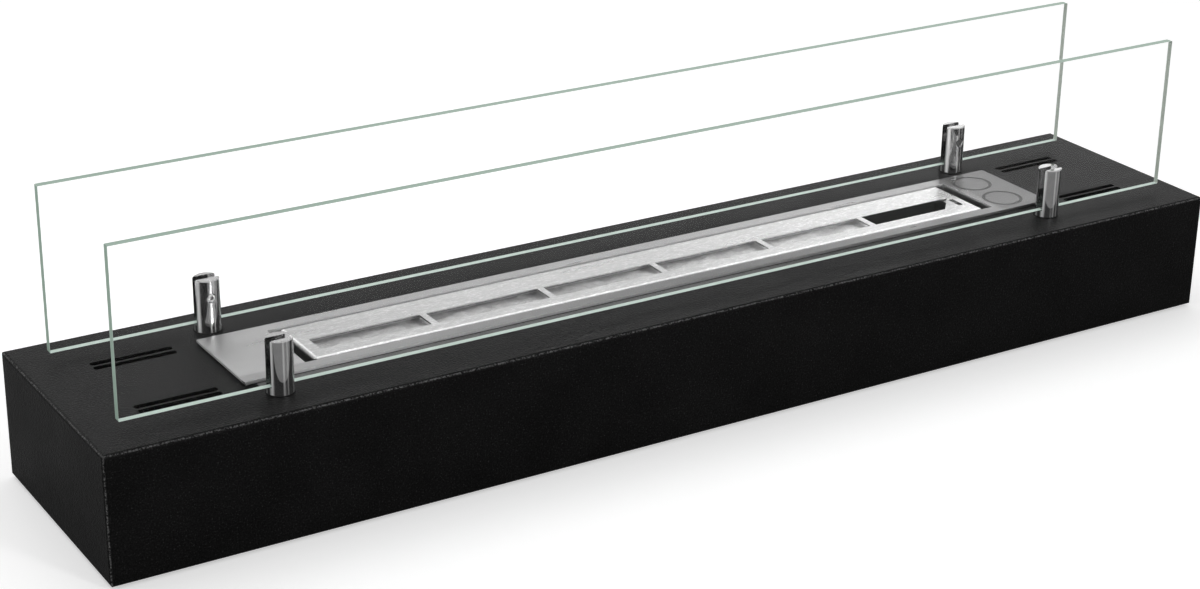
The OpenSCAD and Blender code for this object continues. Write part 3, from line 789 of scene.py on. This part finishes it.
# %% Edge colours
GLASS_EDGE = 0.12 * MM
GROUND_CORNER, GROUND_SHARE = 0.9 * MM, 0.6
BOTTOM_GREEN, TOP_GREEN, END_GREEN = (0.30, 0.36, 0.33), (0.23, 0.31, 0.26), (0.23, 0.31, 0.26)
RIGHT_GREEN = (0.27, 0.30, 0.27)
GROUND_TINT = (0.4, 0.46, 0.42)


def edge_faces(glass, low, high):
    """Masks of a pane's narrow faces: bottom, top, left and right."""
    axes = glass.split(glass.place)
    return (glass.math("LESS_THAN", axes["Z"], low.z + GLASS_EDGE),
            glass.math("GREATER_THAN", axes["Z"], high.z - GLASS_EDGE),
            glass.math("LESS_THAN", axes["X"], low.x + GLASS_EDGE),
            glass.math("GREATER_THAN", axes["X"], high.x - GLASS_EDGE))


def edge_green(glass, low, high, bottom, top, right):
    """The colour of each edge, with its ground corners."""
    tint = glass.tint(bottom, END_GREEN, BOTTOM_GREEN)
    tint = glass.tint(top, glass.tint(right, tint, RIGHT_GREEN), TOP_GREEN)
    middle, half = (low.y + high.y) / 2, (high.y - low.y) / 2
    from_middle = glass.away(glass.split(glass.place)["Y"], middle)
    ground = glass.remap(from_middle, 0, GROUND_SHARE, half - GROUND_CORNER, half)
    return glass.tint(ground, tint, GROUND_TINT)


print("edge band in mm:", round(GLASS_EDGE / MM, 2))

# %% [markdown]
# Clear glass
#
# Real glass bends light by an index of 1.5, but a flat pane shifts what is behind it by only a little, and
# its two faces mirror so much of a white studio that the deck behind it turns milky. A lower index and a
# dark specular tint keep the panes as clear as they look. Shadow rays pass through the faces, so that the
# panes don't darken the deck.

# %% Panes
PANE_IOR, PANE_SPECULAR = 1.2, 0.1
EDGE_GLOW, EDGE_SPECULAR, EDGE_ROUGHNESS = 0.4, 0.1, (0.25, 0.4)


def glowing_edge(glass, tint):
    """A second shader for the narrow faces: ground, pale green and lit from inside."""
    rim = glass.add("ShaderNodeBsdfPrincipled")
    glass.link(tint, rim.inputs["Base Color"])
    glass.link(tint, rim.inputs["Emission Color"])
    rim.inputs["Emission Strength"].default_value = EDGE_GLOW
    rim.inputs["Specular IOR Level"].default_value = EDGE_SPECULAR
    glass.link(glass.remap(glass.noise(0.5, detail=2), *EDGE_ROUGHNESS), rim.inputs["Roughness"])
    return rim.outputs[0]


def mix_shaders(glass, share, first, second):
    mix = glass.add("ShaderNodeMixShader")
    for source, socket in zip((share, first, second), mix.inputs):
        glass.link(source, socket)
    return mix.outputs[0]


def clear_glass(pane):
    glass = Finish("clear_glass_" + pane)
    low, high = corners(pane)
    glass.put(Base_Color=(1, 1, 1, 1), Transmission_Weight=1, IOR=PANE_IOR, Roughness=0,
              Specular_Tint=(*grey(PANE_SPECULAR), 1))
    bottom, top, left, right = edge_faces(glass, low, high)
    edge = glass.math("MAXIMUM", glass.math("MAXIMUM", bottom, top), glass.math("MAXIMUM", left, right))
    rim = glowing_edge(glass, edge_green(glass, low, high, bottom, top, right))
    solid = mix_shaders(glass, edge, glass.shader.outputs[0], rim)
    path = glass.add("ShaderNodeLightPath")
    unshaded = glass.add("ShaderNodeBsdfTransparent")
    lets_through = glass.times(path.outputs["Is Shadow Ray"], glass.math("SUBTRACT", 1, edge))
    opened = mix_shaders(glass, lets_through, solid, unshaded.outputs[0])
    glass.link(opened, glass.graph.nodes["Material Output"].inputs["Surface"])
    return glass.material


for part in subparts:
    if part["material_slot"] == "clear_glass":
        keep(clear_glass(part["node"]))

# %% [markdown]
# Rubber, silicone and nylon
#
# The feet, the pads under the glass and the screws' tips are moulded. They hardly show, and one recipe does
# for all: an even colour that wanders a little, with the fine skin that a mould leaves.

# %% Moulded parts


def moulded(name, tone, roughness, grain_mm, height_mm):
    skin = Finish(name)
    skin.put(Specular_IOR_Level=0.2)
    fine = skin.noise(grain_mm, detail=3)
    skin.feed(skin.ramp(fine, (0.3, grey(0.85 * tone)), (0.7, grey(1.1 * tone))), "Base Color")
    skin.feed(skin.remap(fine, roughness - 0.06, roughness + 0.06), "Roughness")
    skin.feed(skin.bump(fine, height_mm, 0.5), "Normal")
    return skin.material


keep(moulded("black_rubber", 0.012, 0.8, 0.6, 0.05))
keep(moulded("grey_silicone", 0.12, 0.6, 0.8, 0.03))
keep(moulded("white_nylon", 0.7, 0.5, 0.5, 0.02))

# %% [markdown]
# Colour of the ceramic wool
#
# New wool is white, and it greys where flames stood over it. A photograph of wool could be wrapped round
# the pads, but it would repeat. Here clumps and fibres are two noises, and the wool gets whiter towards
# the right.

# %% Wool finish
WOOL_TONES, WOOL_GRADIENT_REACH = (0.54, 0.9), (-0.1, 0.3)


def white_wool():
    wool = Finish("ceramic_wool")
    wool.put(Roughness=0.95, Specular_IOR_Level=0.1)
    clumps = wool.noise(7, detail=5, rough=0.65, seed=8)
    fibres = wool.noise(0.7, detail=4, stretch=(4, 1, 1), rough=0.7, seed=5)
    towards_right = wool.remap(wool.split(wool.place)["X"], *WOOL_TONES, *WOOL_GRADIENT_REACH)
    shade = wool.times(towards_right, wool.remap(clumps, 0.82, 1.08))
    wool.paint(wool.times(shade, wool.remap(fibres, 0.92, 1.05)))
    wool.feed(wool.bump(fibres, 0.3, 0.6), "Normal")
    return wool.material


keep(white_wool())

# %% [markdown]
# Give every node its finish
#
# The record names a material slot for every node, and most finishes are kept under that name. Two kinds
# differ: each pane has its own glass, which knows where its edges are, and the rim has its own steel.

# %% Finishes on the construction
OWN_FINISH = {"trough_rim": "rim_steel"}

for part in subparts:
    name, slot = part["node"], part["material_slot"]
    finish = "clear_glass_" + name if slot == "clear_glass" else OWN_FINISH.get(name, slot)
    mesh = nodes[name].data
    mesh.materials.clear()
    mesh.materials.append(finishes[finish])
print("finishes given to", len(subparts), "nodes")

# %% [markdown]
# Height of the wool
#
# The fuel is soaked up by white ceramic wool, packed into the box under each window. A displaced texture
# would leave its outline flat, so each pad is a real mesh whose height is worked out point by point: layered
# noise for tufts and clumps, lower at the back of the window, and rounded down along its outline.

# %% Wool height
WINDOW_BACK, WINDOW_FRONT = -4 * MM, -19 * MM
WOOL_DIP, WOOL_REST, WOOL_LEAST, WOOL_ROUND = 2.5 * MM, 0.5 * MM, 0.15 * MM, 3 * MM
TUFT_SIZE, CLUMP_SIZE = 9 * MM, 31 * MM
TUFT_MM, CLUMP_MM = 1.1, 0.8
TUFT_DIMMING, TUFT_LACUNARITY, TUFT_LAYERS = 0.8, 2.1, 5


def ease(value):
    """0 below 0, 1 above 1 and a smooth turn between them."""
    value = min(1, max(0, value))
    return value * value * (3 - 2 * value)


def wool_height(x, y, low, high, seed):
    """Height of the pad's top at one point: swollen in front, lower at the back and round its outline."""
    inset = min(x - low.x, high.x - x, y - low.y, high.y - y)
    back = ease((y - WINDOW_FRONT) / (WINDOW_BACK - WINDOW_FRONT))
    tufts = noise.fractal(Vector((x, y, seed)) / TUFT_SIZE, TUFT_DIMMING, TUFT_LACUNARITY, TUFT_LAYERS)
    clumps = noise.noise(Vector((x, y, seed + 1)) / CLUMP_SIZE)
    sink = WOOL_DIP * back + WOOL_REST + (TUFT_MM * tufts + CLUMP_MM * clumps) * MM
    return high.z - max(WOOL_LEAST, sink) - WOOL_ROUND * (1 - ease(inset / WOOL_ROUND))


print("wool is lower at the back by, in mm:", round(WOOL_DIP / MM, 2))

# %% [markdown]
# The body of a pad
#
# A pad is a block that was squeezed into place. A sculpted mesh would be hard to repeat five times, so a
# grid of points is numbered by column, row and layer, and each point is pulled in a little and roughened.
# Only the points on the outside are made, each of them once, so that the pad is closed. Blender starts its
# vector noise from the clock, so it is given a seed, and every run makes the same pad.

# %% Pad mesh
WOOL_CELL = 1.6 * MM
WOOL_SIDE_STEPS = 14
FIBRE_SIZE = 5 * MM
FIBRE_MM, SQUEEZE_MM = 0.5, 0.5
NOISE_SEED = 1
noise.seed_set(NOISE_SEED)


def wool_body(low, high, seed):
    """The closed pad: grid top, four sides and a bottom, all with a fibrous skin."""
    pad = bmesh.new()
    columns = round((high.x - low.x) / WOOL_CELL)
    rows = round((high.y - low.y) / WOOL_CELL)

    def point(i, j, k):
        x = low.x + (high.x - low.x) * i / columns
        y = low.y + (high.y - low.y) * j / rows
        top = wool_height(x, y, low, high, seed)
        z = low.z + (top - low.z) * k / WOOL_SIDE_STEPS
        rough = noise.noise_vector(Vector((x, y, z)) / FIBRE_SIZE) * FIBRE_MM * MM
        inward = Vector(((low.x + high.x) / 2 - x, (low.y + high.y) / 2 - y, 0)).normalized()
        inward = inward * SQUEEZE_MM * MM
        if 0 < k < WOOL_SIDE_STEPS:
            return Vector((x, y, z)) + inward + Vector((rough.x, rough.y, 0))
        return Vector((x, y, z)) + inward

    made = {}

    def vertex(i, j, k):
        if (i, j, k) not in made:
            made[i, j, k] = pad.verts.new(point(i, j, k))
        return made[i, j, k]

    def face(*places):
        pad.faces.new([vertex(*place) for place in places])

    top = WOOL_SIDE_STEPS
    for i in range(columns):
        for j in range(rows):
            face((i, j, top), (i + 1, j, top), (i + 1, j + 1, top), (i, j + 1, top))
            face((i, j, 0), (i, j + 1, 0), (i + 1, j + 1, 0), (i + 1, j, 0))
    for k in range(top):
        for i in range(columns):
            face((i, 0, k), (i + 1, 0, k), (i + 1, 0, k + 1), (i, 0, k + 1))
            face((i, rows, k + 1), (i + 1, rows, k + 1), (i + 1, rows, k), (i, rows, k))
        for j in range(rows):
            face((0, j, k + 1), (0, j + 1, k + 1), (0, j + 1, k), (0, j, k))
            face((columns, j, k), (columns, j + 1, k), (columns, j + 1, k + 1), (columns, j, k + 1))
    return pad


print("cells on a pad are, in mm:", round(WOOL_CELL / MM, 2))

# %% [markdown]
# Loose strands
#
# What tells wool from snow are single fibres. Blender's hair could make them, but it doesn't travel with a
# mesh that leaves Blender. So each is a short chain of small triangles that wanders over the top of its
# pad. A fixed seed per pad gives the same strands on every run.

# %% Strand meshes
STRAND_STEPS = 7
STRAND_RADIUS, STRAND_TAPER = 0.12 * MM, 0.7
STRAND_MARGIN, UNDER_TOP = 4 * MM, 0.1 * MM
STRIDE_MM, WANDER = (1.2, 2.6), 0.5
LIFT_LEAST, LIFT_MORE = 0.2 * MM, 0.5 * MM


def add_strand(pad, points):
    """A thin three-sided tube through the points."""
    rings = []
    for index, place in enumerate(points):
        ahead = (points[min(index + 1, len(points) - 1)] - points[max(index - 1, 0)]).normalized()
        side = ahead.cross(Vector((0, 0, 1))).normalized()
        up = side.cross(ahead)
        thick = STRAND_RADIUS * (1 - STRAND_TAPER * index / len(points))
        turns = [side * math.cos(a) + up * math.sin(a) for a in (0, math.tau / 3, 2 * math.tau / 3)]
        rings.append([pad.verts.new(place + turn * thick) for turn in turns])
    for first, second in zip(rings, rings[1:]):
        for n in range(3):
            pad.faces.new([first[n], first[(n + 1) % 3], second[(n + 1) % 3], second[n]])
    pad.faces.new(rings[0][::-1])
    pad.faces.new(rings[-1])


def strand_path(low, high, seed, chance):
    """A wandering line of points just above the wool."""
    x = chance.uniform(low.x + STRAND_MARGIN, high.x - STRAND_MARGIN)
    y = chance.uniform(low.y + STRAND_MARGIN, high.y - STRAND_MARGIN)
    heading, stride = chance.uniform(0, math.tau), chance.uniform(*STRIDE_MM) * MM
    points = []
    edge = STRAND_MARGIN / 2
    for _ in range(STRAND_STEPS):
        lift = LIFT_LEAST + LIFT_MORE * chance.random()
        points.append(Vector((x, y, min(high.z - UNDER_TOP, wool_height(x, y, low, high, seed) + lift))))
        heading += chance.uniform(-WANDER, WANDER)
        x = min(high.x - edge, max(low.x + edge, x + stride * math.cos(heading)))
        y = min(high.y - edge, max(low.y + edge, y + stride * math.sin(heading)))
    return points


print("points in a strand:", STRAND_STEPS)

# %% [markdown]
# One pad under each window
#
# The construction has a plain block where each pad is, which says how much room there is. The tufted pad
# stands for it and rides on the fuel box, and the block is hidden.

# %% Wool pads
STRANDS = 120


def wool_pad(node, seed):
    low, high = corners(node)
    pad = wool_body(low, high, seed)
    chance = random.Random(seed)
    for _ in range(STRANDS):
        add_strand(pad, strand_path(low, high, seed, chance))
    mesh = bpy.data.meshes.new("tufted_" + node)
    pad.to_mesh(mesh)
    pad.free()
    for face in mesh.polygons:
        face.use_smooth = True
    made = bpy.data.objects.new("tufted_" + node, mesh)
    scene.collection.objects.link(made)
    mesh.materials.append(finishes["ceramic_wool"])
    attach(made, "fuel_box")
    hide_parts(node)
    return made


for part in subparts:
    if part["node"].startswith("wool_pad_"):
        made = wool_pad(part["node"], int(part["node"][-1]))
        print(made.name, "faces:", len(made.data.polygons))

# %% [markdown]
# Rings under the posts
#
# A thin black rubber ring lies round the foot of each post and shows as a fine black line. A torus would
# be too round for it. It is a lathe shape, so a small rounded profile is turned about the post's axis.

# %% Rubber rings
RING_STEPS = 64
RING_OUT, RING_HEIGHT = 0.5 * MM, 0.6 * MM
# Points of the profile, as shares of the width and of the height.
RING_PROFILE = ((0, 0), (1, 0), (1, 0.55), (0.75, 0.9), (0.4, 1), (0, 1))


def rubber_ring(post):
    """A ring against the foot of a post, whose box gives the axis, the radius and the deck."""
    low, high = corners(post)
    axis = (low + high) / 2
    radius = (high.x - low.x) / 2
    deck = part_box("housing_shell")[1].z
    ring = bmesh.new()
    turns = []
    for step in range(RING_STEPS):
        angle = math.tau * step / RING_STEPS
        around = Vector((math.cos(angle), math.sin(angle), 0))
        turns.append([ring.verts.new(Vector((axis.x, axis.y, deck + up * RING_HEIGHT))
                                     + around * (radius + out * RING_OUT)) for out, up in RING_PROFILE])
    for step, turn in enumerate(turns):
        after = turns[(step + 1) % RING_STEPS]
        for n in range(len(turn)):
            m = (n + 1) % len(turn)
            ring.faces.new([turn[n], after[n], after[m], turn[m]]).smooth = True
    name = post.replace("glass_post", "rubber_ring")
    mesh = bpy.data.meshes.new(name)
    ring.to_mesh(mesh)
    ring.free()
    made = bpy.data.objects.new(name, mesh)
    scene.collection.objects.link(made)
    mesh.materials.append(finishes["black_rubber"])
    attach(made, "root")
    return made


for name in sorted(nodes):
    if name.startswith("glass_post_"):
        print(rubber_ring(name).name)

# %% [markdown]
